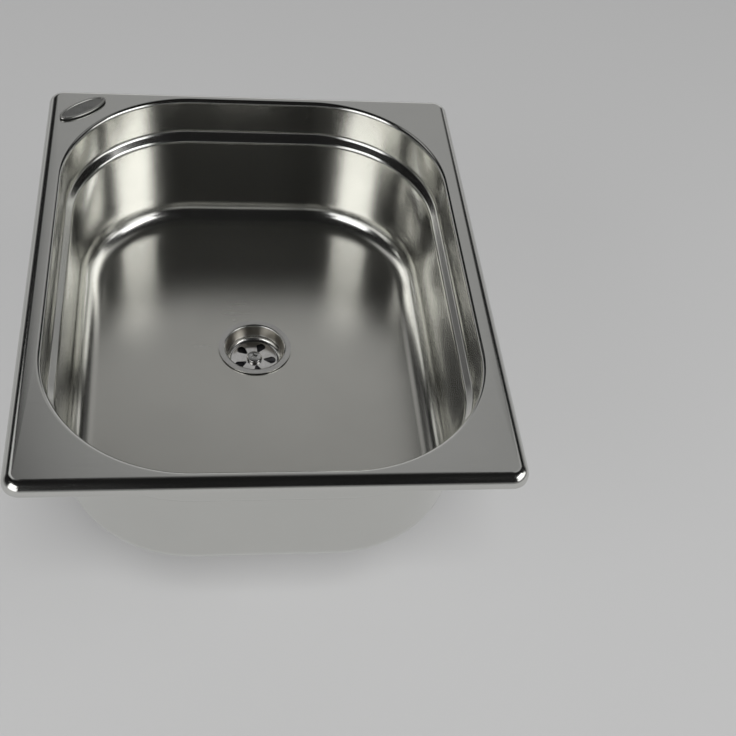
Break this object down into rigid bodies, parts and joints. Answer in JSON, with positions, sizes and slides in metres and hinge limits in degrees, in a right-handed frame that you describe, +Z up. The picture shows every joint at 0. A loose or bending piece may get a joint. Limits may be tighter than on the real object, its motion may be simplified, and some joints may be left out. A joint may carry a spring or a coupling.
{
  "type": "drop-in camping sink",
  "caption": "Drop-in stainless steel sink bowl with a flat rolled rim, a stacking ledge, a coved base, a petal strainer drain and a swivelling hose elbow below.",
  "frame": {"origin": "centre of the rim on the worktop's surface, in the plane of the rim's lower edge", "axes": "+Z up out of the bowl, +Y to the back along the bowl's length, +X to the right as seen from the front"},
  "size_m": [0.265, 0.325, 0.1824],
  "materials": {
    "satin_steel": "satin",
    "badge_steel": "satin",
    "polished_steel": "polished",
    "screw_steel": "polished",
    "gasket_rubber": "matt",
    "drain_plastic": "matt",
    "ring_plastic": "smooth",
    "insert_brass": "bare"
  },
  "bodies": {
    "sink": {"basin": "satin_steel", "badge": "badge_steel", "drain_cup": "polished_steel", "flange_gasket": "gasket_rubber", "body_gasket": "gasket_rubber", "drain_body": "drain_plastic", "insert_nut": "insert_brass"},
    "drain_screw": {"drain_screw": "screw_steel"},
    "slip_ring": {"slip_ring": "ring_plastic"},
    "union_nut": {"union_nut": "drain_plastic"},
    "outlet": {"hose_tail": "drain_plastic", "tail_seal": "gasket_rubber"}
  },
  "joints": [
    {"name": "screw_turn", "type": "hinge", "parent": "sink", "child": "drain_screw", "pos_m": [0, 0.017, -0.0978], "axis": [0, 0, 1], "continuous": true},
    {"name": "nut_travel", "type": "slide", "parent": "sink", "child": "slip_ring", "axis": [0, 0, -1], "range_m": [0, 0.0104]},
    {"name": "nut_turn", "type": "hinge", "parent": "slip_ring", "child": "union_nut", "pos_m": [0, 0.017, -0.1299], "axis": [0, 0, -1], "range_deg": [0, 1620]},
    {"name": "outlet_swivel", "type": "hinge", "parent": "slip_ring", "child": "outlet", "pos_m": [0, 0.017, -0.1289], "axis": [0, 0, 1], "continuous": true}
  ],
  "couplings": [
    {"joint": "nut_travel", "follows": "nut_turn", "m_per_rad": 0.0003675}
  ]
}
